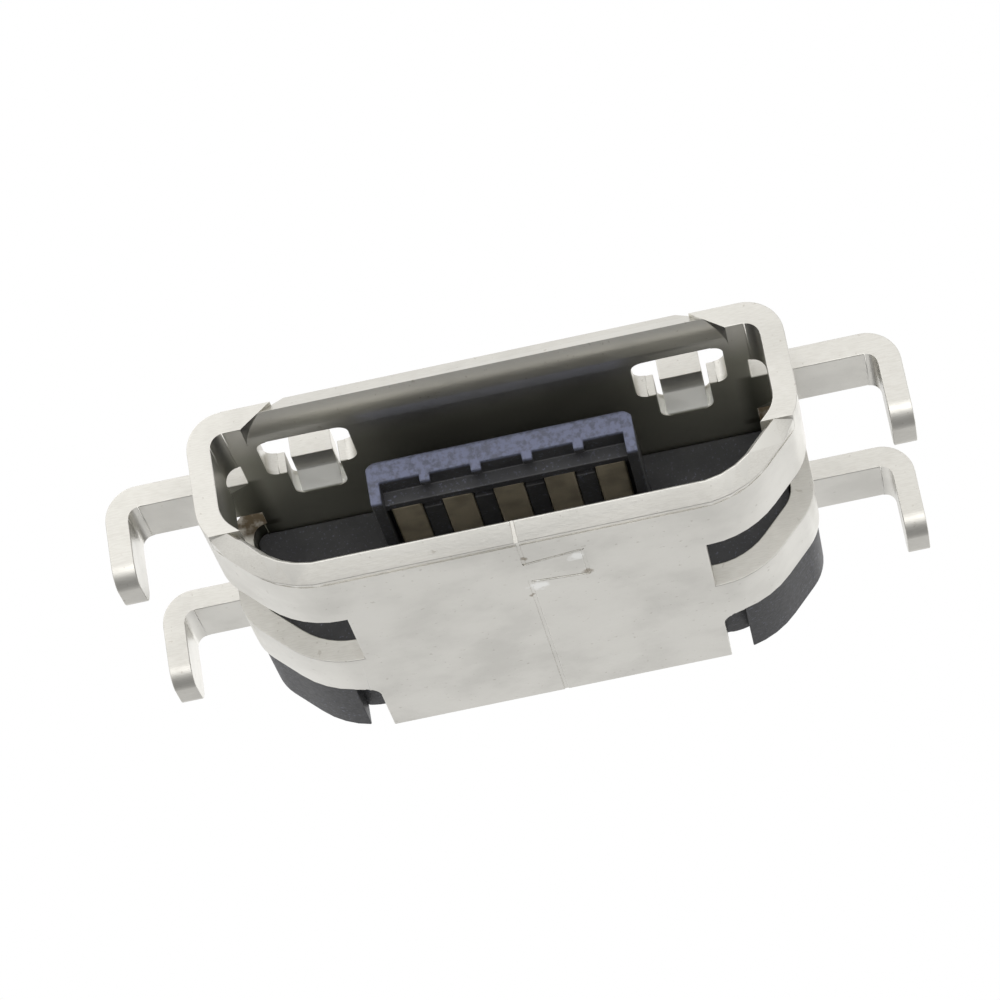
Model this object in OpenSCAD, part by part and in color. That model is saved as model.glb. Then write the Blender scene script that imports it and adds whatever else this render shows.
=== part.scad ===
// Small five-way data and power socket for the edge of a circuit board.
// X runs across the mouth, Y runs from the mouth to the rear, Z is up.
// The origin is the middle of the plug opening, in the plane of the front rim.
// The wide side is up and carries the legs, and the narrow side is down.

/* [Mouth and sheet] */
// Inside width of the mouth
mouth_w = 6.9; // [6.6:0.05:7.4]
// Inside height of the mouth
mouth_h = 1.85; // [1.75:0.05:2.1]
// Width of each sloping corner of the narrow side
slope_w = 0.725; // [0.6:0.025:0.85]
// Height of the sloping corners of the narrow side
slope_h = 0.72; // [0.5:0.02:0.9]
// Thickness of the folded sheet
sheet_t = 0.3; // [0.2:0.02:0.34]
// Inside radius of the bends at the edges of the floor
floor_bend_r = 0.95; // [0.5:0.05:1.2]
// Inside radius of the bends between the sloping corners and the side walls
side_bend_r = 0.4; // [0.2:0.02:0.5]
// Inside radius of the bends at the edges of the wide side
top_bend_r = 0.18; // [0.1:0.01:0.24]

/* [Rim] */
// Depth of the front ring, from the rim to the front windows
ring_l = 1.47; // [1.3:0.01:1.6]
// Distance from the side walls to the flared lip of the wide side
top_lip_side = 0.65; // [0.45:0.01:0.85]
// Rise of the flared lip of the wide side
top_lip_rise = 0.18; // [0.08:0.01:0.24]
// Depth over which the wide side flares
top_lip_l = 0.5; // [0.4:0.01:0.6]
// Width that each end of the flared lip takes to come back to the wall
top_lip_end = 0.25; // [0.15:0.01:0.3]
// Drop of the flared lip of the narrow side
low_lip_rise = 0.11; // [0.04:0.01:0.16]
// Depth over which the narrow side flares
low_lip_l = 0.36; // [0.3:0.01:0.45]
// Height of the flared lip of the narrow side above the inside of the floor
low_lip_h = 0.5; // [0.4:0.01:0.54]
// Angle at which the ends of the low lip fade into the sloping corners
low_lip_fade = 12; // [9:1:20]

/* [Shell body] */
// Length of the floor and of the middle of the wide side
shell_l = 5.05; // [4.8:0.05:5.3]
// Distance from the rim to the middle band
band_y = 2.75; // [2.6:0.01:2.85]
// Length of the middle band
band_l = 0.95; // [0.8:0.01:1.1]
// Reach of the side windows into the flat floor
window_reach = 0.455; // [0.3:0.005:0.6]
// Radius of the inner corners of the rear windows
window_r = 0.3; // [0.1:0.02:0.4]
// Clearance beside the solder feet in the notch of the wide side
foot_notch_gap = 0.46; // [0.3:0.02:0.7]

/* [Seam] */
// Gap of the seam along the floor
seam_gap = 0.04; // [0.02:0.01:0.06]
// Distance of the seam from the middle
seam_x = 0.05; // [0:0.01:0.2]
// Distance from the rim to the key of the seam
key_y = 0.82; // [0.6:0.01:1]
// Width of the key at its neck
key_neck = 0.52; // [0.4:0.01:0.6]
// Width of the key at its end
key_end = 0.74; // [0.65:0.01:0.9]
// Reach of the key into the other half of the floor
key_reach = 0.74; // [0.5:0.01:0.9]

/* [Tabs and legs] */
// Distance from the rim to the front tabs
front_tab_y = 1.5; // [1.48:0.01:1.7]
// Distance from the rim to the rear tabs
rear_tab_y = 4.88; // [4.6:0.01:5]
// Width of each tab and leg
leg_w = 0.9; // [0.7:0.01:1]
// Distance between the outer faces of a pair of legs
leg_span = 10.26; // [9.8:0.02:10.8]
// Reach of the front legs below the underside of their tabs
front_leg_l = 1; // [0.9:0.02:1.6]
// Reach of the rear legs below the underside of their tabs
rear_leg_l = 1; // [0.8:0.02:1.6]
// Inside radius of the bend of each leg
leg_bend_r = 0.15; // [0.08:0.01:0.25]
// Radius of the rounded tip of each leg
leg_tip_r = 0.28; // [0.1:0.01:0.34]
// Length of the relief slot in front of each tab
relief_l = 0.5; // [0.3:0.01:0.6]
// Reach of the relief slots into the wide side
relief_reach = 0.2; // [0.1:0.01:0.3]
// Depth of the relief slots below the inside of the wide side
relief_drop = 0.2; // [0.1:0.01:0.3]

/* [Latch windows] */
// Distance from each side wall to the middle of its latch window
latch_side = 1.07; // [1.02:0.01:1.15]
// Distance from the rim to the latch windows
latch_y = 0.48; // [0.3:0.01:0.55]
// Width of the wide end of a latch window
latch_w = 1.16; // [1:0.02:1.26]
// Length of the wide end of a latch window
latch_l = 0.94; // [0.8:0.02:1.1]
// Width of the narrow end of a latch window
slot_w = 0.68; // [0.6:0.02:0.9]
// Length of a latch window in all
slot_l = 1.6; // [1.5:0.02:1.9]
// Radius of the corners of a latch window
latch_r = 0.15; // [0.05:0.01:0.2]
// Width of the spring finger
finger_w = 0.54; // [0.4:0.01:0.56]
// Length of the ramp at the root of the finger
finger_ramp_l = 0.26; // [0.2:0.01:0.35]
// Rise of the finger above the wall
finger_rise = 0.2; // [0.1:0.01:0.22]
// Length of the level part of the finger
finger_tip_l = 0.4; // [0.3:0.01:0.6]

/* [Housing] */
// Clearance between the housing and the shell
fit_gap = 0.02; // [0.01:0.01:0.04]
// Depth of the cavity, from the rim to the housing
cavity_l = 3; // [2.9:0.02:3.2]
// Distance from the rim to the tongue
tongue_y = 0.85; // [0.7:0.01:1]
// Width of the tongue
tongue_w = 3.38; // [3.34:0.01:3.6]
// Thickness of the tongue above the contacts
tongue_t = 0.31; // [0.24:0.01:0.36]
// Gap between the tongue and the wide side
tongue_gap = 0.37; // [0.32:0.01:0.42]
// Thickness of the ribs at the sides of the tongue
side_rib_w = 0.14; // [0.1:0.01:0.16]
// Reach of the side ribs of the tongue below the contacts
side_rib_reach = 0.1; // [0.04:0.01:0.2]
// Height of the ribs between the contacts
rib_h = 0.15; // [0.08:0.01:0.18]
// Width of the teeth at the front of the tongue
tooth_w = 0.13; // [0.1:0.01:0.2]
// Length of the teeth at the front of the tongue
tooth_l = 0.16; // [0.1:0.01:0.2]
// Height of the teeth at the front of the tongue
tooth_h = 0.1; // [0.05:0.01:0.18]
// Size of the bevel on the upper front edge of the tongue
tongue_bevel = 0.06; // [0.02:0.01:0.1]
// Size of the bevels on the upper side edges of the tongue
tongue_side_bevel = 0.1; // [0.02:0.01:0.14]
// Length of the bar that covers the tips of the contacts
tip_bar_l = 0.14; // [0.08:0.01:0.2]
// Distance from the tips of the contacts to the ribs between them
rib_back = 0.22; // [0.1:0.01:0.4]

/* [Contacts] */
// Distance between neighbouring contacts
contact_pitch = 0.65; // [0.6:0.01:0.66]
// Width of a contact
contact_w = 0.38; // [0.34:0.01:0.42]
// Thickness of a contact
contact_t = 0.18; // [0.14:0.01:0.2]
// Distance from the rim to the tips of the contacts
contact_y = 1.31; // [1.25:0.01:1.5]
// Clearance round a contact in the housing
contact_gap = 0.01; // [0.01:0.005:0.02]
// Distance from the housing to the riser of a contact
riser_gap = 0.1; // [0.05:0.01:0.2]
// Length of the flat of a solder foot
foot_l = 0.6; // [0.4:0.02:0.9]
// Inside radius of the bends of a contact
contact_bend_r = 0.08; // [0.04:0.01:0.12]

/* [Hidden] */
$fn = 48;
CONTACTS = 5;
// Reach of a cutting shape past the faces that it cuts
past = 1;
// Overlap of shapes that are joined into one
weld = 0.1;
// Depth to which the root of the low lip reaches into the wall behind it
lip_root = 0.06;
// Set-back of each face of the low lip from the face of the wall behind it
lip_set_back = 0.01;
// Flats that make up each bend of the low lip
LIP_FLATS = 4;
half_w = mouth_w / 2;
floor_w = mouth_w - 2 * slope_w;
top_lip_w = mouth_w - 2 * top_lip_side;
latch_pitch = mouth_w - 2 * latch_side;
contact_row_w = (CONTACTS - 1) * contact_pitch + contact_w;
foot_notch_w = contact_row_w + 2 * foot_notch_gap;
top_z = mouth_h / 2;
floor_z = -top_z;
side_low_z = floor_z + slope_h;
out_w = half_w + sheet_t;
out_top_z = top_z + sheet_t;
out_floor_z = floor_z - sheet_t;
rear_y = rear_tab_y + leg_w;
band_end = band_y + band_l;
relief_x = half_w - relief_reach;
strip_x = floor_w / 2 - window_reach;
tongue_top = top_z - tongue_gap;
tongue_low = tongue_top - tongue_t;
contact_top = tongue_low - contact_gap;
contact_low = contact_top - contact_t;
riser_y = shell_l + riser_gap;
low_lip_r = (low_lip_l * low_lip_l + low_lip_rise * low_lip_rise) / (2 * low_lip_rise);
// Corners of the inside of the shell, anticlockwise as seen from the mouth
INSIDE = [
    [-floor_w / 2, floor_z],
    [floor_w / 2, floor_z],
    [half_w, side_low_z],
    [half_w, top_z],
    [-half_w, top_z],
    [-half_w, side_low_z]
];
// Inside radius of the bend at each of those corners
BENDS = [floor_bend_r, floor_bend_r, side_bend_r, top_bend_r, top_bend_r, side_bend_r];

function unit(v) = v / norm(v);
function wrap(list, i) = list[(i + len(list)) % len(list)];
function to_last(list, i) = unit(wrap(list, i - 1) - list[i]);
function to_next(list, i) = unit(wrap(list, i + 1) - list[i]);
function half_angle(list, i) = acos(to_last(list, i) * to_next(list, i)) / 2;
function inward(list, i) = unit(to_last(list, i) + to_next(list, i)) / sin(half_angle(list, i));
// Convex outline moved outward by a distance
function grown(list, d) = [for (i = [0:len(list) - 1]) list[i] - inward(list, i) * d];
// Centre of the rounding of one corner
function round_centre(list, i, r) = list[i] + inward(list, i) * r;
function tangent_l(list, i, r) = r / tan(half_angle(list, i));
function bend_start(list, i, r) = list[i] + to_last(list, i) * tangent_l(list, i, r);
function bend_end(list, i, r) = list[i] + to_next(list, i) * tangent_l(list, i, r);
// Radii of the bends of the shell at a distance outside its inner face
function bends(d) = [for (r = BENDS) r + d];
// Convex outline with true round corners, one radius for each
module rounded(list, radii) {
    polygon([
        for (i = [0:len(list) - 1])
            each [bend_start(list, i, radii[i]), bend_end(list, i, radii[i])]
    ]);
    for (i = [0:len(list) - 1]) {
        centre = round_centre(list, i, radii[i]);
        from = bend_start(list, i, radii[i]) + weld * to_last(list, i);
        to = bend_end(list, i, radii[i]) + weld * to_next(list, i);
        translate(centre)
            intersection() {
                circle(radii[i]);
                polygon(2 * [[0, 0], from - centre, list[i] - centre, to - centre]);
            }
    }
}

// Upright rectangle with round corners, from the middle of its lower edge
module rounded_box(w, l, r) {
    rounded([[-w / 2, 0], [w / 2, 0], [w / 2, l], [-w / 2, l]], [r, r, r, r]);
}

// Outline across X and Z, drawn out along Y
module along_y(from, to) {
    translate([0, to, 0])
        rotate([90, 0, 0])
            linear_extrude(to - from)
                children();
}

// Outline across Y and Z, drawn out along X
module along_x(from, to) {
    translate([from, 0, 0])
        rotate([90, 0, 90])
            linear_extrude(to - from)
                children();
}

module both_sides() {
    children();
    mirror([1, 0, 0])
        children();
}

// Section of a flared lip, an arc of sheet that starts level with the wall
module flare_section(rise, run) {
    r = (run * run + rise * rise) / (2 * rise);
    turn = asin(run / r);
    translate([run, r])
        intersection() {
            difference() {
                circle(r);
                circle(r - sheet_t);
            }
            polygon([[0, 0], [-2 * r * sin(turn), -2 * r * cos(turn)], [0, -2 * r]]);
        }
}

// Space that the flared lip of the wide side takes, with sloping ends
module top_lip_space() {
    slope = top_lip_end / top_lip_rise;
    low_x = top_lip_w / 2 + slope * (top_lip_rise + sheet_t);
    high_x = top_lip_w / 2 - slope * 2 * sheet_t;
    intersection() {
        along_y(-past, top_lip_l)
            polygon([
                [-low_x, top_z - sheet_t],
                [low_x, top_z - sheet_t],
                [high_x, top_z + top_lip_rise + 2 * sheet_t],
                [-high_x, top_z + top_lip_rise + 2 * sheet_t]
            ]);
        translate([-half_w + top_bend_r, -past, top_z - sheet_t / 2])
            cube([mouth_w - 2 * top_bend_r, top_lip_l + past, 3 * sheet_t + top_lip_rise]);
    }
}

module top_lip() {
    intersection() {
        along_x(-half_w, half_w)
            translate([0, top_z])
                flare_section(top_lip_rise, top_lip_l);
        top_lip_space();
    }
}

function normal_angle(i) = let(v = to_next(INSIDE, i)) atan2(v[1], v[0]) - 90;
// Corners of a bend of the floor that is made up of flats
function bend_flats(i) =
    let(
        centre = round_centre(INSIDE, i, floor_bend_r),
        from = normal_angle((i + len(INSIDE) - 1) % len(INSIDE)),
        turn = (normal_angle(i) - from) / LIP_FLATS
    )
    [
        for (k = [0:LIP_FLATS - 1])
            let(a = from + (k + 0.5) * turn)
            centre + floor_bend_r / cos(turn / 2) * [cos(a), sin(a)]
    ];
// Inner line of the low lip at its root, from the left sloping corner to the right one
LOW_LINE = concat([INSIDE[5]], bend_flats(0), bend_flats(1), [INSIDE[2]]);

// Space on the inner side of every wall of the low lip, from one section along Y
module within_low_walls() {
    intersection_for(i = [0:len(LOW_LINE) - 2]) {
        along = LOW_LINE[i + 1] - LOW_LINE[i];
        translate([LOW_LINE[i][0], 0, LOW_LINE[i][1]])
            rotate([0, -atan2(along[1], along[0]), 0])
                along_x(-mouth_w, norm(along) + mouth_w)
                    mirror([0, 1])
                        children();
    }
}

// Section along Y of the space inside one face of the low lip, by its depth in the sheet
module low_section(depth) {
    difference() {
        translate([-past, -mouth_w])
            square([low_lip_l + 2 * past, mouth_w + sheet_t + low_lip_rise]);
        translate([low_lip_l, low_lip_r])
            circle(low_lip_r - depth);
        translate([low_lip_l, depth])
            square([2 * past, mouth_w]);
    }
}

// Section along Y of the space in front of the end of the low lip, square to its curve
module low_front() {
    turn = 2 * atan(low_lip_rise / low_lip_l);
    translate([low_lip_l, low_lip_r])
        polygon(2 * mouth_w * [[0, 0], [-sin(turn), -cos(turn)], [-1, -cos(turn)], [-1, 0]]);
}

// Space in front of the low lip's root, up to its ends on the sloping corners
module low_lip_space(reach) {
    translate([-out_w - past, -past, out_floor_z - past])
        cube([2 * (out_w + past), reach + past, sheet_t + past + low_lip_h]);
}

// Space between the sloping planes at which the ends of the low lip fade out
module low_lip_fades() {
    slope = atan2(slope_h, slope_w);
    end_x = (low_lip_h - slope_h + sheet_t * cos(slope)) / sin(slope);
    intersection_for(side = [0, 1])
        mirror([side, 0])
            translate([half_w, 0, side_low_z])
                rotate([0, -slope, 0])
                    translate([end_x, -past, 2 * lip_set_back - sheet_t])
                        rotate([0, -low_lip_fade, 0])
                            translate([-mouth_w - past, 0, 0])
                                cube([2 * (mouth_w + past), low_lip_l + 2 * past, 2 * mouth_w]);
}

// Flared lip of the narrow side, which runs round its bends
module low_lip() {
    difference() {
        intersection() {
            within_low_walls()
                difference() {
                    low_section(sheet_t - lip_set_back);
                    low_front();
                }
            low_lip_space(low_lip_l + lip_root);
            low_lip_fades();
        }
        within_low_walls()
            low_section(lip_set_back);
    }
}

// One latch window, a wide end with a narrow end behind it
module latch_window() {
    translate([latch_pitch / 2, latch_y, top_z - past])
        linear_extrude(2 * past + sheet_t) {
            rounded_box(latch_w, latch_l, latch_r);
            rounded_box(slot_w, slot_l, latch_r);
        }
}

// One spring finger, hinged at the rear of its window and raised above the wall
module finger() {
    root = latch_y + slot_l;
    crease = root - finger_ramp_l;
    tip = crease - finger_tip_l;
    under = [
        [root + weld, top_z],
        [root, top_z],
        [crease, top_z + finger_rise],
        [tip, top_z + finger_rise]
    ];
    along_x((latch_pitch - finger_w) / 2, (latch_pitch + finger_w) / 2)
        polygon(concat(under, [for (i = [len(under) - 1:-1:0]) under[i] + [0, sheet_t]]));
}

// One tab with its leg, bent down from the plane of the wide side
module leg(y, reach) {
    outer = leg_span / 2;
    bend_x = outer - sheet_t - leg_bend_r;
    bend_z = top_z - leg_bend_r;
    tip_z = top_z - reach;
    translate([relief_x - weld, y, top_z])
        cube([bend_x - relief_x + weld, leg_w, sheet_t]);
    along_y(y, y + leg_w)
        translate([bend_x, bend_z])
            intersection() {
                difference() {
                    circle(leg_bend_r + sheet_t);
                    circle(leg_bend_r);
                }
                square(leg_bend_r + sheet_t);
            }
    along_x(outer - sheet_t, outer)
        rounded_leg(y, tip_z, bend_z, leg_tip_r);
}

// Outline of the upright part of a leg, with a rounded tip
module rounded_leg(y, low, high, r) {
    translate([y, low + r])
        square([leg_w, high - low - r]);
    translate([y + r, low])
        square([leg_w - 2 * r, high - low]);
    for (x = [r, leg_w - r])
        translate([y + x, low + r])
            circle(r);
}

// Cuts along one side: the two windows and the relief slots
module side_cuts() {
    low = out_floor_z - past;
    translate([strip_x, ring_l, low])
        cube([out_w + past - strip_x, band_y - ring_l, top_z - low]);
    translate([relief_x, front_tab_y - relief_l, top_z - relief_drop])
        cube([out_w + past - relief_x, band_y - front_tab_y + relief_l, past]);
    translate([0, 0, low])
        linear_extrude(top_z - low)
            rear_window_plan();
    translate([relief_x, band_end, top_z - relief_drop])
        cube([out_w + past - relief_x, rear_y + past - band_end, past]);
}

// Plan of a rear window, open at the rear and rounded at its inner corner
module rear_window_plan() {
    translate([strip_x + window_r, band_end])
        square([out_w + past - strip_x - window_r, rear_y + past - band_end]);
    translate([strip_x, band_end + window_r])
        square([window_r, rear_y + past - band_end - window_r]);
    translate([strip_x + window_r, band_end + window_r])
        circle(window_r);
}

// Straight stretch of the seam, seen from above
module seam_stretch(from, to) {
    run = to - from;
    translate(from)
        rotate(atan2(run[1], run[0]))
            translate([-seam_gap / 2, -seam_gap / 2])
                square([norm(run) + seam_gap, seam_gap]);
}

// Seam along the floor, with a key that locks the two edges
module seam() {
    neck_in = (key_end - key_neck) / 2;
    points = [
        [seam_x, -past],
        [seam_x, key_y + neck_in],
        [seam_x + key_reach, key_y],
        [seam_x + key_reach, key_y + key_end],
        [seam_x, key_y + key_end - neck_in],
        [seam_x, rear_y + past]
    ];
    translate([0, 0, out_floor_z - past])
        linear_extrude(past + 2 * sheet_t)
            for (i = [0:len(points) - 2])
                seam_stretch(points[i], points[i + 1]);
}

// Folded tube of the shell, before its windows
module folded_tube() {
    difference() {
        along_y(0, rear_y)
            rounded(grown(INSIDE, sheet_t), bends(sheet_t));
        along_y(-past, rear_y + past)
            rounded(INSIDE, BENDS);
        top_lip_space();
        low_lip_space(low_lip_l);
    }
}

module shell() {
    color([0.82, 0.82, 0.79]) {
        difference() {
            union() {
                folded_tube();
                top_lip();
                low_lip();
            }
            both_sides()
                latch_window();
            both_sides()
                side_cuts();
            seam();
            translate([-out_w - past, shell_l, out_floor_z - past])
                cube([2 * (out_w + past), rear_y, past + mouth_h + sheet_t]);
            translate([-foot_notch_w / 2, shell_l, 0])
                cube([foot_notch_w, rear_y, out_top_z + past]);
        }
        both_sides() {
            finger();
            leg(front_tab_y, front_leg_l);
            leg(rear_tab_y, rear_leg_l);
        }
    }
}

// Block of the housing, with shoulders that fill the rear windows
module housing_block() {
    along_y(cavity_l, shell_l)
        rounded(grown(INSIDE, -fit_gap), bends(-fit_gap));
    shoulder_y = band_end + fit_gap;
    intersection() {
        along_y(shoulder_y, shell_l)
            rounded(grown(INSIDE, sheet_t - 2 * fit_gap), bends(sheet_t - 2 * fit_gap));
        both_sides()
            translate([strip_x + window_r, shoulder_y, floor_z - past])
                cube([past + out_w, shell_l - shoulder_y, top_z - floor_z + past - fit_gap]);
    }
}

// Flat plate of the tongue, with bevelled upper edges
module tongue_plate(root) {
    half = tongue_w / 2;
    intersection() {
        along_x(-half, half)
            polygon([
                [root, tongue_low],
                [root, tongue_top],
                [tongue_y + tongue_bevel, tongue_top],
                [tongue_y, tongue_top - tongue_bevel],
                [tongue_y, tongue_low]
            ]);
        along_y(tongue_y - past, root + past)
            polygon([
                [-half, tongue_low - past],
                [half, tongue_low - past],
                [half, tongue_top - tongue_side_bevel],
                [half - tongue_side_bevel, tongue_top],
                [tongue_side_bevel - half, tongue_top],
                [-half, tongue_top - tongue_side_bevel]
            ]);
    }
}

// Tongue with its side ribs, the bar and ribs round the contacts and the front teeth
module tongue() {
    root = cavity_l + weld;
    rib_w = contact_pitch - contact_w - 2 * contact_gap;
    rib_y = contact_y + rib_back;
    low = tongue_low;
    tongue_plate(root);
    for (i = [0:CONTACTS - 2]) {
        x = contact_pitch * (i - (CONTACTS - 2) / 2);
        translate([x - tooth_w / 2, tongue_y, low - tooth_h])
            cube([tooth_w, tooth_l, tooth_h + tongue_t / 2]);
        translate([x - rib_w / 2, rib_y, low - rib_h])
            cube([rib_w, root - rib_y, rib_h + tongue_t / 2]);
    }
    translate([side_rib_w - tongue_w / 2 - weld / 2, contact_y - tip_bar_l, contact_low])
        cube([tongue_w - 2 * side_rib_w + weld, tip_bar_l, low - contact_low + tongue_t / 2]);
    both_sides()
        translate([tongue_w / 2 - side_rib_w, tongue_y, contact_low - side_rib_reach])
            cube([side_rib_w, root - tongue_y, low - contact_low + side_rib_reach + tongue_t / 4]);
}

module housing() {
    color([0.16, 0.17, 0.2])
        difference() {
            union() {
                housing_block();
                tongue();
            }
            for (i = [0:CONTACTS - 1])
                translate([contact_x(i) - contact_w / 2, contact_y, contact_low] - contact_gap * [1, 1, 1])
                    cube([contact_w, rear_y, contact_t] + contact_gap * [2, 0, 2]);
        }
}

function contact_x(i) = contact_pitch * (i - (CONTACTS - 1) / 2);

// Quarter of a bend of strip, round a centre and towards one quadrant
module strip_bend(side) {
    r = contact_bend_r + contact_t;
    intersection() {
        difference() {
            circle(r);
            circle(contact_bend_r);
        }
        scale(side)
            square(r);
    }
}

// Section of a contact along Y: beam, riser and solder foot
module contact_section() {
    r = contact_bend_r;
    t = contact_t;
    low_bend = [riser_y - r, contact_top + r];
    high_bend = [riser_y + t + r, top_z - r];
    translate([contact_y, contact_low])
        square([low_bend[0] - contact_y, t]);
    translate(low_bend)
        strip_bend([1, -1]);
    translate([riser_y, low_bend[1]])
        square([t, high_bend[1] - low_bend[1]]);
    translate(high_bend)
        strip_bend([-1, 1]);
    translate([high_bend[0], top_z])
        square([foot_l, t]);
}

module contact(i) {
    color([0.5, 0.45, 0.34])
        along_x(contact_x(i) - contact_w / 2, contact_x(i) + contact_w / 2)
            contact_section();
}

shell();
housing();
contact(0);  // contact_1
contact(1);  // contact_2
contact(2);  // contact_3
contact(3);  // contact_4
contact(4);  // contact_5
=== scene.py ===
"""Small board-edge socket: a folded metal shell round a black tongue with flat contacts."""

import math

import bmesh
import bpy
from bpy.props import FloatProperty, FloatVectorProperty, IntProperty, PointerProperty
from mathutils import Matrix, Vector
from mathutils.bvhtree import BVHTree


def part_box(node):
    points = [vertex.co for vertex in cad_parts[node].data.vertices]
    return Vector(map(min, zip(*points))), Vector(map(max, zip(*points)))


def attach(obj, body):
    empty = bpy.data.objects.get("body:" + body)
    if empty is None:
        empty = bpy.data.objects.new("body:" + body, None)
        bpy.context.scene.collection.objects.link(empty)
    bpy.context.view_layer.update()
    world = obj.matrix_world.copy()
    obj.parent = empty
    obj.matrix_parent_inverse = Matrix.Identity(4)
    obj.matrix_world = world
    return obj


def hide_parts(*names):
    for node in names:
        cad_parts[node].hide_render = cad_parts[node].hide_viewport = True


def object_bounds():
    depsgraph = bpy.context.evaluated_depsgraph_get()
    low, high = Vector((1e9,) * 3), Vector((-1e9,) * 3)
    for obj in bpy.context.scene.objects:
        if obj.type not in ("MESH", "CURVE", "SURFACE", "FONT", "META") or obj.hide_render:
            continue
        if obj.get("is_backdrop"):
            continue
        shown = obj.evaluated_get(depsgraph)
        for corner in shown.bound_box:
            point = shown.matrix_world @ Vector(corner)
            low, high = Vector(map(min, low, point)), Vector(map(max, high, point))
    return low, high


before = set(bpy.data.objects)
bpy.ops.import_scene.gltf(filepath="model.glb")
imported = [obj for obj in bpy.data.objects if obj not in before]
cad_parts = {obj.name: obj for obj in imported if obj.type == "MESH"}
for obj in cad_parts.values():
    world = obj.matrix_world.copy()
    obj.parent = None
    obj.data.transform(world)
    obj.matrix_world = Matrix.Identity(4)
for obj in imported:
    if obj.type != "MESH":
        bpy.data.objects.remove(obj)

bl_info = {
    "name": "Board socket",
    "version": (1, 0, 0),
    "blender": (4, 5, 0),
    "location": "3D View > Sidebar > Socket",
    "description": "Folded metal shell, moulded tongue and five contacts of a small board socket",
    "category": "Object",
}

MM = 0.001
BODY = "root"

# Corners closer than this are one corner
MERGE = 1e-8
# Rounding leaves no edge shorter than this
SLIVER = 1e-7
# Faces that meet at less than this are one flat, and at more than the other a sharp edge
FLAT_ANGLE = math.radians(1)
SHARP_ANGLE = math.radians(35)
# Faces that meet at less than this are shaded as one surface
SHADED_ANGLE = math.radians(60)
# A flat wider than this keeps its own shading at a corner where the shading is turned by more than this
WIDE = 0.04 * MM
TURN_ANGLE = math.radians(20)
# A flat takes a rounded edge where it is this many times as wide as the rounding
ROOM = 2.5
# Faces that meet at more than this are folded over
FOLD_ANGLE = math.radians(150)

# Sheet of the shell, and the half width and half height of the mouth
SHEET = 0.3 * MM
HALF_W = 3.45 * MM
HALF_H = 0.925 * MM

# Lip of the narrow side: its depth, its drop and the turn of its curve
LIP_DEPTH = 0.36 * MM
LIP_DROP = 0.11 * MM
LIP_TURN = 2 * math.atan(LIP_DROP / LIP_DEPTH)
LIP_RADIUS = (LIP_DEPTH ** 2 + LIP_DROP ** 2) / (2 * LIP_DROP)

# Corners of the seam in the floor, from the lip to the rear
SEAM_X = 0.05 * MM
KEY_X = 0.79 * MM
SEAM_CORNERS = [(SEAM_X, 0.93 * MM), (KEY_X, 0.82 * MM), (KEY_X, 1.56 * MM), (SEAM_X, 1.45 * MM), (SEAM_X, 5.04 * MM)]
SEAM_GAP = 0.04 * MM

# Contacts: nodes, section, middle of the riser and radius of the middle line in the bends
CONTACT_NODES = [f"contact_{i}" for i in range(1, 6)]
CONTACT_T = 0.18 * MM
RISER_Y = 5.24 * MM
CONTACT_BEND = 0.17 * MM


# Sizes and colours that a user may change


class ShellLook(bpy.types.PropertyGroup):
    """Folded sheet of the shell"""

    edge_round: FloatProperty(
        name="Edge rounding", description="Width of the soft edge left by the press", default=0.014 * MM,
        min=0.002 * MM, max=0.05 * MM, precision=6, unit="LENGTH",
    )
    colour: FloatVectorProperty(
        name="Plating", description="Colour of the plating", default=(0.7, 0.685, 0.64), size=3, min=0, max=1,
        subtype="COLOR",
    )
    # Painted shade: the colour that inward-looking plating near the mouth is darkened to, standing for the shade
    # inside the mouth
    inner: FloatVectorProperty(
        name="Inside", description="Colour of the dull plating inside the mouth", default=(0.36, 0.355, 0.3), size=3,
        min=0, max=1, subtype="COLOR",
    )
    stain: FloatVectorProperty(
        name="Stain", description="Colour of the specks and of the metal bared by shearing",
        default=(0.2, 0.155, 0.1), size=3, min=0, max=1, subtype="COLOR",
    )
    roughness: FloatProperty(
        name="Roughness", description="Roughness of the rolled sheet", default=0.34, min=0.05, max=1,
        subtype="FACTOR",
    )
    seam_depth: FloatProperty(
        name="Seam depth", description="Depth of the seam above the plating that has run into it",
        default=0.012 * MM, min=0.004 * MM, max=0.1 * MM, precision=6, unit="LENGTH",
    )


class HousingLook(bpy.types.PropertyGroup):
    """Moulded tongue and block"""

    edge_round: FloatProperty(
        name="Edge rounding", description="Width of the soft edge left by the mould", default=0.018 * MM,
        min=0.002 * MM, max=0.05 * MM, precision=6, unit="LENGTH",
    )
    colour: FloatVectorProperty(
        name="Plastic", description="Colour of the moulded plastic", default=(0.016, 0.016, 0.019), size=3, min=0,
        max=1, subtype="COLOR",
    )
    dust: FloatVectorProperty(
        name="Dust", description="Colour of the dust", default=(0.17, 0.185, 0.27), size=3, min=0, max=1,
        subtype="COLOR",
    )


class ContactLook(bpy.types.PropertyGroup):
    """Five flat contacts"""

    colour: FloatVectorProperty(
        name="Plating", description="Colour of the contact plating", default=(0.46, 0.4, 0.3), size=3, min=0,
        max=1, subtype="COLOR",
    )
    count: IntProperty(name="Number", description="Number of contacts", default=5, min=1, max=9)
    pitch: FloatProperty(
        name="Pitch", description="Distance between neighbouring contacts", default=0.65 * MM, min=0.4 * MM,
        max=1 * MM, precision=6, unit="LENGTH",
    )
    edge_round: FloatProperty(
        name="Edge rounding", description="Radius of the long edges of a contact", default=0.03 * MM,
        min=0.002 * MM, max=0.08 * MM, precision=6, unit="LENGTH",
    )


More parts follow.
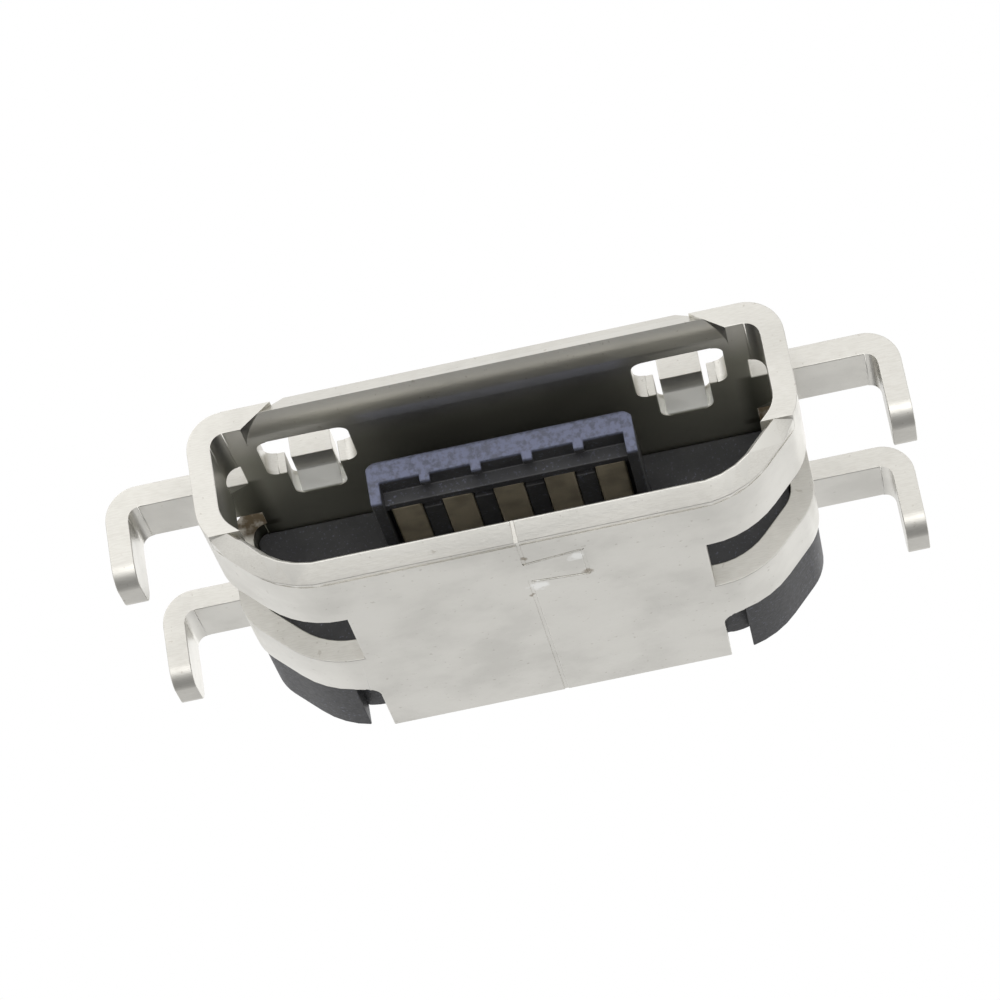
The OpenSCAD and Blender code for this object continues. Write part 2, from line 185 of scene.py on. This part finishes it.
class StageLook(bpy.types.PropertyGroup):
    """Floor, light and camera"""

    floor: FloatVectorProperty(
        name="Floor", description="Colour of the floor", default=(0.9, 0.9, 0.9), size=3, min=0, max=1,
        subtype="COLOR",
    )
    light: FloatProperty(
        name="Light", description="Strength of the light from all round", default=0.8, min=0, max=2,
        subtype="FACTOR",
    )
    lens: FloatProperty(
        name="Lens", description="Focal length of the camera", default=147.8, min=20, max=300, unit="CAMERA"
    )


# Meshes


def new_piece(name, mesh):
    """Object at the origin that holds a mesh."""
    obj = bpy.data.objects.new(name, mesh)
    bpy.context.scene.collection.objects.link(obj)
    return obj


def settled(obj):
    """Object whose modifiers have become plain mesh."""
    graph = bpy.context.evaluated_depsgraph_get()
    mesh = bpy.data.meshes.new_from_object(obj.evaluated_get(graph))
    obj.modifiers.clear()
    obj.data = mesh
    return obj


def merged_copy(node):
    """Copy of a node's mesh with its loose triangles merged at their corners."""
    bm = bmesh.new()
    bm.from_mesh(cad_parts[node].data)
    bmesh.ops.remove_doubles(bm, verts=bm.verts, dist=MERGE)
    bm.edges.ensure_lookup_table()
    bm.faces.ensure_lookup_table()
    return bm


def flats_of(bm):
    """Number of the flat that each face is part of, and the area and width of each flat."""
    part_of = {}
    areas = []
    widths = []
    for first in bm.faces:
        if first in part_of:
            continue
        part_of[first] = len(areas)
        flat, area, rim = [first], 0.0, 0.0
        for face in flat:
            area += face.calc_area()
            for edge in face.edges:
                if edge.calc_face_angle(math.pi) > FLAT_ANGLE:
                    rim += edge.calc_length()
                    continue
                for other in edge.link_faces:
                    if other not in part_of:
                        part_of[other] = len(areas)
                        flat.append(other)
        areas.append(area)
        widths.append(2 * area / rim)
    return part_of, areas, widths


def rounded_copy(plain, chosen, width):
    """Copy of a mesh with the chosen edges rounded, and the middles of the folds that this leaves."""
    bm = plain.copy()
    bm.edges.ensure_lookup_table()
    for edge in bm.edges:
        edge.smooth = edge.index in chosen or edge.calc_face_angle(0.0) < SHARP_ANGLE
    edges = [bm.edges[i] for i in sorted(chosen)]
    bmesh.ops.bevel(bm, geom=edges, offset=width, segments=2, profile=0.5, affect="EDGES", clamp_overlap=False)
    bmesh.ops.remove_doubles(bm, verts=bm.verts, dist=SLIVER)
    bmesh.ops.dissolve_degenerate(bm, dist=SLIVER, edges=bm.edges)
    folds = [(e.verts[0].co + e.verts[1].co) / 2 for e in bm.edges if e.calc_face_angle(0.0) > FOLD_ANGLE]
    return bm, folds


def soften(node, name, width):
    """Piece like a node, with its sharp edges rounded, apart from those near what would fold over."""
    plain = merged_copy(node)
    part_of, _, widths = flats_of(plain)
    chosen = {
        edge.index for edge in plain.edges
        if edge.calc_face_angle(0.0) > SHARP_ANGLE
        and all(widths[part_of[face]] > ROOM * width for face in edge.link_faces)
    }
    bm, folds = rounded_copy(plain, chosen, width)
    reach = width
    while folds and chosen:
        reach += width
        for i in list(chosen):
            start, end = (vert.co for vert in plain.edges[i].verts)
            run = end - start
            for fold in folds:
                share = max(0.0, min(1.0, (fold - start).dot(run) / run.length_squared))
                if (start + share * run - fold).length < reach:
                    chosen.discard(i)
        bm.free()
        bm, folds = rounded_copy(plain, chosen, width)
    mesh = bpy.data.meshes.new(name)
    bm.to_mesh(mesh)
    bm.free()
    plain.free()
    return new_piece(name, mesh)


def even_shading(mesh):
    """Keeps every flat flat, and turns evenly over bends and rounded edges."""
    for polygon in mesh.polygons:
        polygon.use_smooth = True
    bm = bmesh.new()
    bm.from_mesh(mesh)
    part_of, areas, widths = flats_of(bm)
    at_corner = {}
    for vert in bm.verts:
        left = set(vert.link_faces)
        while left:
            fan = [left.pop()]
            for face in fan:
                for edge in face.edges:
                    if vert not in edge.verts or not edge.smooth or edge.calc_face_angle(math.pi) > SHADED_ANGLE:
                        continue
                    for other in edge.link_faces:
                        if other in left:
                            left.remove(other)
                            fan.append(other)
            flats = {part_of[face]: face.normal for face in fan}
            normal = sum((areas[flat] * flats[flat] for flat in sorted(flats)), Vector())
            normal.normalize()
            for face in fan:
                stays = widths[part_of[face]] > WIDE and face.normal.angle(normal) > TURN_ANGLE
                at_corner[face.index, vert.index] = face.normal.copy() if stays else normal.copy()
    bm.free()
    mesh.normals_split_custom_set([
        at_corner[polygon.index, mesh.loops[corner].vertex_index]
        for polygon in mesh.polygons
        for corner in polygon.loop_indices
    ])


def mark_sheet(mesh):
    """Writes on each face of the shell whether it looks inwards, and whether it was sheared."""
    tree = BVHTree.FromPolygons([v.co for v in mesh.vertices], [p.vertices for p in mesh.polygons])
    inside = []
    sheared = []
    for polygon in mesh.polygons:
        middle, normal = polygon.center, polygon.normal
        _, _, _, through = tree.ray_cast(middle - 1e-7 * normal, -normal)
        is_sheet = through is not None and abs(through - SHEET) < 0.13 * SHEET
        # How far each face looks inwards, towards the middle line of the mouth; the plating paints shade inside the
        # mouth and under the tab roots with it
        heart = Vector((max(-HALF_W + HALF_H, min(HALF_W - HALF_H, middle.x)), middle.y, 0))
        faces_in = normal.dot((heart - middle).normalized())
        inside.append(max(0.0, min(1.0, 1.6 * faces_in)))
        sheared.append(0.0 if is_sheet else 1.0)
    for name, values in (("inside", inside), ("sheared", sheared)):
        layer = mesh.attributes.new(name, "FLOAT", "FACE")
        layer.data.foreach_set("value", values)


# Geometry nodes


class Steps:
    """Builder for a tree of geometry nodes that ends in plain, finished mesh."""

    def __init__(self, name, **inputs):
        self.tree = bpy.data.node_groups.new(name, "GeometryNodeTree")
        self.tree.interface.new_socket("Path", in_out="INPUT", socket_type="NodeSocketGeometry")
        for label, kind in inputs.items():
            self.tree.interface.new_socket(label.replace("_", " "), in_out="INPUT", socket_type="NodeSocket" + kind)
        self.tree.interface.new_socket("Finish", in_out="INPUT", socket_type="NodeSocketMaterial")
        self.tree.interface.new_socket("Mesh", in_out="OUTPUT", socket_type="NodeSocketGeometry")
        self.given = self.tree.nodes.new("NodeGroupInput").outputs
        self.result = self.tree.nodes.new("NodeGroupOutput").inputs[0]

    def add(self, kind, links, **values):
        """New node with its settings, and its inputs linked to sockets or set to values."""
        node = self.tree.nodes.new("GeometryNode" + kind)
        for key, value in values.items():
            setattr(node, key, value)
        for key, value in links.items():
            if isinstance(value, bpy.types.NodeSocket):
                self.tree.links.new(value, node.inputs[key])
            else:
                node.inputs[key].default_value = value
        return node.outputs[0]

    def bar(self, path, width, height, rounding):
        """Closed bar with a rounded rectangular section along a path."""
        section = self.add("CurvePrimitiveQuadrilateral", {"Width": width, "Height": height})
        section = self.add("FilletCurve", {"Curve": section, "Radius": rounding, "Count": 3}, mode="POLY")
        return self.add("CurveToMesh", {"Curve": path, "Profile Curve": section, "Fill Caps": True})

    def end(self, mesh):
        mesh = self.add("RealizeInstances", {"Geometry": mesh})
        mesh = self.add("SetMaterial", {"Geometry": mesh, "Material": self.given["Finish"]})
        self.tree.links.new(mesh, self.result)
        return self.tree


def by_steps(name, path, tree, finish, **values):
    """Piece that a tree of geometry nodes makes from a path."""
    mesh = bpy.data.meshes.new(name)
    mesh.from_pydata(path, [(i, i + 1) for i in range(len(path) - 1)], [])
    obj = new_piece(name, mesh)
    modifier = obj.modifiers.new("steps", "NODES")
    modifier.node_group = tree
    values["Finish"] = finish
    for socket in tree.interface.items_tree:
        label = socket.name.replace(" ", "_")
        if socket.in_out == "INPUT" and label in values:
            modifier[socket.identifier] = values[label]
    return settled(obj)


def contact_steps():
    """Row of like contacts, each a rounded bar along one bent path."""
    steps = Steps("contact row", Count="Int", Pitch="Float", Width="Float", Thickness="Float", Bend="Float",
                  Rounding="Float")
    given = steps.given
    path = steps.add("MeshToCurve", {"Mesh": given["Path"]})
    path = steps.add(
        "FilletCurve", {"Curve": path, "Radius": given["Bend"], "Count": 6, "Limit Radius": True}, mode="POLY"
    )
    strip = steps.bar(path, given["Width"], given["Thickness"], given["Rounding"])
    step = steps.tree.nodes.new("ShaderNodeCombineXYZ")
    steps.tree.links.new(given["Pitch"], step.inputs["X"])
    places = steps.add("MeshLine", {"Count": given["Count"], "Offset": step.outputs[0]})
    return steps.end(steps.add("InstanceOnPoints", {"Points": places, "Instance": strip}))


def seam_steps():
    """Bar of plating that fills the seam along its path."""
    steps = Steps("seam filling", Width="Float", Height="Float", Rounding="Float")
    given = steps.given
    path = steps.add("MeshToCurve", {"Mesh": given["Path"]})
    path = steps.add("SetCurveNormal", {"Curve": path}, mode="Z_UP")
    return steps.end(steps.bar(path, given["Width"], given["Height"], given["Rounding"]))


def seam_path(depth):
    """Middle line of the sheet along the seam, from the edge of the lip to the rear."""
    middle = SHEET / 2
    radius = LIP_RADIUS - middle
    steps = 6
    points = []
    for i in range(steps + 1):
        turn = (LIP_TURN - depth / radius) * (1 - i / steps)
        points.append(Vector((
            SEAM_X,
            LIP_DEPTH - radius * math.sin(turn),
            -HALF_H - LIP_RADIUS + radius * math.cos(turn),
        )))
    level = -HALF_H - middle
    for x, y in SEAM_CORNERS:
        corner = Vector((x, y, level))
        run = (corner - points[-1]).normalized() * SEAM_GAP
        points += [points[-1] + run, corner - run, corner]
    return points


# Materials


class Nodes:
    """Builder for the node tree of a material or a world."""

    def __init__(self, block, output="ShaderNodeOutputMaterial"):
        block.use_nodes = True
        self.block = block
        self.tree = block.node_tree
        self.tree.nodes.clear()
        self.output = self.add(output)

    def add(self, kind, **values):
        node = self.tree.nodes.new(kind)
        for key, value in values.items():
            setattr(node, key, value)
        return node

    def put(self, value, target):
        """Links a socket to a target, or sets the target to a number or colour."""
        if isinstance(value, bpy.types.NodeSocket):
            self.tree.links.new(value, target)
        elif hasattr(value, "__len__") and len(target.default_value) == 4:
            target.default_value = (*value, 1)
        else:
            target.default_value = value

    def place(self, scale=(1, 1, 1)):
        """Position on the object, stretched along each axis."""
        mapping = self.add("ShaderNodeMapping")
        self.put(self.add("ShaderNodeTexCoord").outputs["Object"], mapping.inputs["Vector"])
        mapping.inputs["Scale"].default_value = scale
        return mapping.outputs["Vector"]

    def parts(self, vector):
        node = self.add("ShaderNodeSeparateXYZ")
        self.put(vector, node.inputs[0])
        return node.outputs

    def mark(self, name):
        """Value that the mesh carries on its faces."""
        return self.add("ShaderNodeAttribute", attribute_name=name).outputs["Fac"]

    def noise(self, vector, scale, detail=2.0, roughness=0.5):
        node = self.add("ShaderNodeTexNoise")
        self.put(vector, node.inputs["Vector"])
        node.inputs["Scale"].default_value = scale
        node.inputs["Detail"].default_value = detail
        node.inputs["Roughness"].default_value = roughness
        return node.outputs["Fac"]

    def between(self, value, start, end, low=0.0, high=1.0):
        """Smooth change from low to high while a value goes from start to end."""
        node = self.add("ShaderNodeMapRange", interpolation_type="SMOOTHSTEP")
        self.put(value, node.inputs["Value"])
        node.inputs["From Min"].default_value = start
        node.inputs["From Max"].default_value = end
        node.inputs["To Min"].default_value = low
        node.inputs["To Max"].default_value = high
        return node.outputs["Result"]

    def math(self, operation, a, b=0.0):
        node = self.add("ShaderNodeMath", operation=operation)
        self.put(a, node.inputs[0])
        self.put(b, node.inputs[1])
        return node.outputs[0]

    def times(self, *values):
        product = values[0]
        for value in values[1:]:
            product = self.math("MULTIPLY", product, value)
        return product

    def blend(self, share, a, b):
        """Colour a with a share of colour b over it."""
        node = self.add("ShaderNodeMix", data_type="RGBA")
        share_in, a_in, b_in = (
            next(s for s in node.inputs if s.identifier == name) for name in ("Factor_Float", "A_Color", "B_Color")
        )
        self.put(share, share_in)
        self.put(a, a_in)
        self.put(b, b_in)
        return next(s for s in node.outputs if s.identifier == "Result_Color")

    def spot(self, place, centre, radius, ragged):
        """1 inside a ragged spot round a point and 0 outside it."""
        apart = self.add("ShaderNodeVectorMath", operation="DISTANCE")
        self.put(place, apart.inputs[0])
        apart.inputs[1].default_value = [c * MM for c in centre]
        edge = self.math("MULTIPLY_ADD", ragged, 1.4 * radius * MM)
        edge.node.inputs[2].default_value = -0.7 * radius * MM
        away = self.math("ADD", apart.outputs["Value"], edge)
        return self.between(away, radius * MM, 0.4 * radius * MM)

    def bump(self, height, distance, strength=1.0, over=None):
        node = self.add("ShaderNodeBump")
        node.inputs["Distance"].default_value = distance
        node.inputs["Strength"].default_value = strength
        self.put(height, node.inputs["Height"])
        if over is not None:
            self.put(over, node.inputs["Normal"])
        return node.outputs["Normal"]

    def finish(self, colour, roughness, normal, **uniform):
        shader = self.add("ShaderNodeBsdfPrincipled")
        for key, value in uniform.items():
            shader.inputs[key.replace("_", " ")].default_value = value
        self.put(colour, shader.inputs["Base Color"])
        self.put(roughness, shader.inputs["Roughness"])
        self.put(normal, shader.inputs["Normal"])
        self.put(shader.outputs["BSDF"], self.output.inputs["Surface"])
        return self.block


# Worn bright spots of the floor beside its key, and the dark specks at the corners of the key
BRIGHT_SPOTS = [((0.7, 0.99, -1.225), 0.13), ((0.15, 1.63, -1.225), 0.15)]
DARK_SPOTS = [((0.07, 0.77, -1.225), 0.06), ((0.78, 1.5, -1.225), 0.09), ((0.02, 1.87, -1.225), 0.05)]


def plated_sheet(look):
    """Satin plating on rolled sheet, rougher and with painted shade inside the mouth and under the tab roots, a
    painted highlight over the rubbed latch ramps, a darker patch on the upper side walls, sheared edges, specks and
    rubbed spots.
    """
    n = Nodes(bpy.data.materials.new("plated sheet"))
    place = n.place()
    x, y, z = n.parts(place)
    grain = n.noise(n.place((1, 9, 9)), 9000, 3)
    cloud = n.noise(place, 900, 4, 0.6)
    speck = n.noise(place, 14000, 2)
    ragged = n.noise(place, 9000, 2)
    dull = tuple(0.92 * c for c in look.colour)
    tone = n.blend(n.between(cloud, 0.42, 0.68), look.colour, dull)
    tone = n.blend(n.times(n.between(speck, 0.66, 0.76), 0.25), tone, look.stain)
    sheared = n.mark("sheared")
    tone = n.blend(n.times(sheared, n.between(grain, 0.35, 0.7, 0.0, 0.1)), tone, look.stain)
    wide = n.math("ABSOLUTE", x)
    # Painted shade: faces that look inwards are blended to the inside shade colour, fading in over the first
    # millimetre behind the mouth; the same mask also makes them rougher
    level = n.between(n.math("ABSOLUTE", z), 1.0 * MM, 0.95 * MM)
    low_wall = n.math("MAXIMUM", level, n.between(y, 0.6 * MM, 0.5 * MM))
    inside = n.times(n.mark("inside"), n.between(y, 0.0, 1.1 * MM), n.between(wide, 3.7 * MM, 3.5 * MM), low_wall)
    tone = n.blend(inside, tone, look.inner)
    # A darker brownish patch with a ragged edge, in a narrow band across the upper side walls and their corners
    side = n.between(wide, 3.0 * MM, 3.2 * MM)
    slot = n.times(n.between(y, 2.6 * MM, 2.7 * MM), n.between(y, 2.8 * MM, 2.76 * MM))
    bared = n.times(side, slot, n.between(z, 0.7 * MM, 0.85 * MM), n.between(ragged, 0.2, 0.6, 0.6, 1.0))
    tone = n.blend(bared, tone, tuple(0.4 * c for c in look.stain))
    # Painted shade under the roots of the side tabs: inward-looking faces there are blended to near black
    root = n.times(
        n.between(wide, 3.0 * MM, 3.25 * MM), n.between(wide, 3.62 * MM, 3.5 * MM), n.mark("inside"),
        n.between(y, 1.4 * MM, 1.5 * MM), n.between(z, 0.85 * MM, 0.9 * MM), n.between(z, 0.96 * MM, 0.93 * MM),
    )
    tone = n.blend(n.times(root, 0.85), tone, (0.07, 0.07, 0.05))
    for centre, radius in BRIGHT_SPOTS:
        tone = n.blend(n.times(n.spot(place, centre, radius, ragged), 0.8), tone, (0.92, 0.92, 0.9))
    for centre, radius in DARK_SPOTS:
        tone = n.blend(n.times(n.spot(place, centre, radius, ragged), 0.7), tone, look.stain)
    # Painted highlight over rubbed plating on the ramps where the plug's latch rubs: blended to near white, and made
    # rougher
    ramp_highlight = n.times(
        n.between(wide, 1.9 * MM, 2.0 * MM), n.between(y, 1.74 * MM, 1.82 * MM), n.between(y, 2.2 * MM, 2.1 * MM),
        n.between(z, 0.93 * MM, 0.95 * MM), n.between(z, 1.2 * MM, 1.15 * MM),
    )
    tone = n.blend(n.times(ramp_highlight, 0.9), tone, (0.95, 0.95, 0.93))
    rough = n.math("ADD", n.times(cloud, 0.2), look.roughness - 0.1)
    rough = n.math("ADD", rough, n.times(ramp_highlight, 0.25))
    rough = n.math("ADD", rough, n.times(sheared, 0.12))
    rough = n.math("ADD", rough, n.times(inside, 0.2))
    normal = n.bump(grain, 0.0012 * MM, 0.5)
    normal = n.bump(speck, 0.003 * MM, 0.3, normal)
    return n.finish(tone, rough, normal, Metallic=1.0)


def moulded_plastic(look):
    """Black moulded plastic, with a veil of dust on what faces the mouth and a coat of it on the tongue's front."""
    n = Nodes(bpy.data.materials.new("moulded plastic"))
    place = n.place()
    _, y, _ = n.parts(place)
    skin = n.noise(place, 16000, 3)
    fine = n.noise(place, 26000, 2, 0.6)
    cloud = n.noise(place, 1800, 3)
    coat = n.times(n.between(y, 0.93 * MM, 0.87 * MM), n.between(skin, 0.3, 0.62, 0.45, 1.0))
    veil = n.times(n.between(y, 3.1 * MM, 3.02 * MM), n.between(cloud, 0.3, 0.7, 0.06, 0.16))
    fleck = n.times(n.between(fine, 0.58, 0.7), n.between(cloud, 0.35, 0.7, 0.15, 0.6))
    tone = n.blend(fleck, look.colour, look.dust)
    tone = n.blend(veil, tone, (0.2, 0.2, 0.2))
    tone = n.blend(coat, tone, look.dust)
    rough = n.math("ADD", n.times(skin, 0.2), 0.42)
    rough = n.math("ADD", rough, n.times(coat, 0.3))
    normal = n.bump(skin, 0.004 * MM, 0.5)
    return n.finish(tone, rough, normal)


def contact_plating(look):
    """Thin dull plating over copper alloy, with lengthwise rubbing lines."""
    n = Nodes(bpy.data.materials.new("contact plating"))
    place = n.place()
    lines = n.noise(n.place((12, 1, 12)), 6000, 3)
    cloud = n.noise(place, 2600, 3)
    darker = tuple(0.7 * c for c in look.colour)
    tone = n.blend(n.between(cloud, 0.4, 0.7), look.colour, darker)
    rough = n.math("ADD", n.times(lines, 0.25), 0.4)
    normal = n.bump(lines, 0.001 * MM, 0.5)
    return n.finish(tone, rough, normal, Metallic=0.55)


def dress(obj, material, slot, *nodes):
    """Gives a finished piece its material and its body, and hides the nodes that it stands for."""
    obj.data.materials.clear()
    obj.data.materials.append(material)
    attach(obj, BODY)
    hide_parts(*nodes)


# Stage


def pale_floor(look):
    """Floor under the lowest point, which is seen from above only."""
    low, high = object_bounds()
    middle = (low + high) / 2
    side = 0.25
    mesh = bpy.data.meshes.new("floor")
    corners = [(middle.x + a * side, middle.y + b * side, low.z) for a, b in ((-1, -1), (1, -1), (1, 1), (-1, 1))]
    mesh.from_pydata(corners, [], [(0, 1, 2, 3)])
    n = Nodes(bpy.data.materials.new("floor"))
    seen = n.math(
        "SUBTRACT",
        n.add("ShaderNodeLightPath").outputs["Is Camera Ray"],
        n.add("ShaderNodeNewGeometry").outputs["Backfacing"],
    )
    matt = n.add("ShaderNodeBsdfDiffuse")
    n.put(look.floor, matt.inputs["Color"])
    mix = n.add("ShaderNodeMixShader")
    n.put(seen, mix.inputs[0])
    n.put(n.add("ShaderNodeBsdfTransparent").outputs[0], mix.inputs[1])
    n.put(matt.outputs[0], mix.inputs[2])
    n.put(mix.outputs[0], n.output.inputs["Surface"])
    mesh.materials.append(n.block)
    new_piece("floor", mesh)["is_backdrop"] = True


def studio_world(look):
    """White all round for the camera, and a white tent over a darker ground for everything else."""
    n = Nodes(bpy.data.worlds.new("studio"), "ShaderNodeOutputWorld")
    height = n.parts(n.add("ShaderNodeTexCoord").outputs["Generated"])[2]
    tent = n.between(height, -0.95, -0.25, 0.3, 1.0)
    path = n.add("ShaderNodeLightPath").outputs
    mirrored = n.math("MAXIMUM", path["Is Glossy Ray"], path["Is Transmission Ray"])
    dimmed = n.math("MAXIMUM", mirrored, look.light)
    strength = n.math("MAXIMUM", n.times(tent, dimmed), path["Is Camera Ray"])
    light = n.add("ShaderNodeBackground")
    n.put((1, 1, 1), light.inputs["Color"])
    n.put(strength, light.inputs["Strength"])
    n.put(light.outputs[0], n.output.inputs["Surface"])
    return n.block


def soft_lamp(name, place, size, power, target):
    """Large area lamp that faces a target and isn't seen itself."""
    data = bpy.data.lights.new(name, "AREA")
    data.size = size
    data.energy = power
    lamp = new_piece(name, data)
    lamp.visible_camera = False
    lamp.location = place
    lamp.rotation_mode = "QUATERNION"
    lamp.rotation_quaternion = (target - Vector(place)).to_track_quat("-Z", "Y")


def front_camera(look):
    """Camera in front of the mouth and below it."""
    data = bpy.data.cameras.new("camera")
    data.lens = look.lens
    data.sensor_width = 36
    data.clip_start = 0.002
    data.clip_end = 10
    right = Vector((0.977, 0.1425, -0.1589)).normalized()
    ahead = Vector((-0.0613, 0.9005, 0.4305)).normalized()
    up = right.cross(ahead).normalized()
    right = ahead.cross(up)
    turn = Matrix((right, up, -ahead)).transposed()
    camera = new_piece("camera", data)
    camera.matrix_world = Matrix.Translation(Vector((3.008, -44.75, -22.134)) * MM) @ turn.to_4x4()
    return camera


# Operators


class SOCKET_OT_shell(bpy.types.Operator):
    """Make the folded shell with soft pressed edges and a filled seam"""

    bl_idname = "socket.shell"
    bl_label = "Shell"

    def execute(self, context):
        look = context.scene.socket_shell
        finish = plated_sheet(look)
        shell = soften("shell", "folded_shell", look.edge_round)
        filling = by_steps(
            "seam_filling", seam_path(look.seam_depth), seam_steps(), finish,
            Width=1.2 * SEAM_GAP, Height=SHEET - 2 * look.seam_depth, Rounding=0.1 * SEAM_GAP,
        )
        bm = bmesh.new()
        bm.from_mesh(shell.data)
        bm.from_mesh(filling.data)
        bm.to_mesh(shell.data)
        bm.free()
        bpy.data.objects.remove(filling)
        mark_sheet(shell.data)
        even_shading(shell.data)
        dress(shell, finish, "shell", "shell")
        return {"FINISHED"}


class SOCKET_OT_housing(bpy.types.Operator):
    """Make the moulded block with its tongue"""

    bl_idname = "socket.housing"
    bl_label = "Housing"

    def execute(self, context):
        look = context.scene.socket_housing
        housing = soften("housing", "moulded_housing", look.edge_round)
        even_shading(housing.data)
        dress(housing, moulded_plastic(look), "housing", "housing")
        return {"FINISHED"}


class SOCKET_OT_contacts(bpy.types.Operator):
    """Make the row of flat contacts"""

    bl_idname = "socket.contacts"
    bl_label = "Contacts"

    def execute(self, context):
        look = context.scene.socket_contacts
        if look.count != len(CONTACT_NODES):
            raise RuntimeError("the housing holds as many contacts as the frame has")
        low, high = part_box(CONTACT_NODES[0])
        half = CONTACT_T / 2
        x = (low.x + high.x) / 2
        tip_z, foot_z = low.z + half, high.z - half
        path = [(x, low.y, tip_z), (x, RISER_Y, tip_z), (x, RISER_Y, foot_z), (x, high.y, foot_z)]
        finish = contact_plating(look)
        row = by_steps(
            "contact_row", path, contact_steps(), finish,
            Count=look.count, Pitch=look.pitch, Width=high.x - low.x, Thickness=CONTACT_T, Bend=CONTACT_BEND,
            Rounding=look.edge_round,
        )
        even_shading(row.data)
        dress(row, finish, "contact", *CONTACT_NODES)
        return {"FINISHED"}


class SOCKET_OT_stage(bpy.types.Operator):
    """Make the floor, the light and the camera"""

    bl_idname = "socket.stage"
    bl_label = "Stage"

    def execute(self, context):
        look = context.scene.socket_stage
        low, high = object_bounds()
        middle = (low + high) / 2
        pale_floor(look)
        soft_lamp("key", (-0.03, -0.03, 0.05), 0.05, 0.008, middle)
        soft_lamp("back", (0.03, 0.05, 0.03), 0.05, 0.004, middle)
        soft_lamp("front", (0.02, -0.35, -0.1), 0.25, 0.34, middle)
        context.scene.world = studio_world(look)
        context.scene.camera = front_camera(look)
        context.scene.view_settings.view_transform = "Standard"
        return {"FINISHED"}


class SOCKET_PT_panel(bpy.types.Panel):
    """Sizes, colours and pieces of the socket"""

    bl_idname = "SOCKET_PT_panel"
    bl_label = "Socket"
    bl_space_type = "VIEW_3D"
    bl_region_type = "UI"
    bl_category = "Socket"

    def draw(self, context):
        for name, _ in GROUPS:
            group = getattr(context.scene, name)
            box = self.layout.box()
            for key in group.__annotations__:
                box.prop(group, key)
        for operator in OPERATORS:
            self.layout.operator(operator.bl_idname)


GROUPS = [
    ("socket_shell", ShellLook),
    ("socket_housing", HousingLook),
    ("socket_contacts", ContactLook),
    ("socket_stage", StageLook),
]
OPERATORS = [SOCKET_OT_shell, SOCKET_OT_housing, SOCKET_OT_contacts, SOCKET_OT_stage]


def register():
    for name, group in GROUPS:
        bpy.utils.register_class(group)
        setattr(bpy.types.Scene, name, PointerProperty(type=group))
    for operator in OPERATORS:
        bpy.utils.register_class(operator)
    bpy.utils.register_class(SOCKET_PT_panel)


def unregister():
    bpy.utils.unregister_class(SOCKET_PT_panel)
    for operator in reversed(OPERATORS):
        bpy.utils.unregister_class(operator)
    for name, group in reversed(GROUPS):
        delattr(bpy.types.Scene, name)
        bpy.utils.unregister_class(group)


def main():
    register()
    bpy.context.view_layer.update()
    bpy.ops.socket.shell()
    bpy.ops.socket.housing()
    bpy.ops.socket.contacts()
    bpy.ops.socket.stage()


if __name__ == "__main__":
    main()
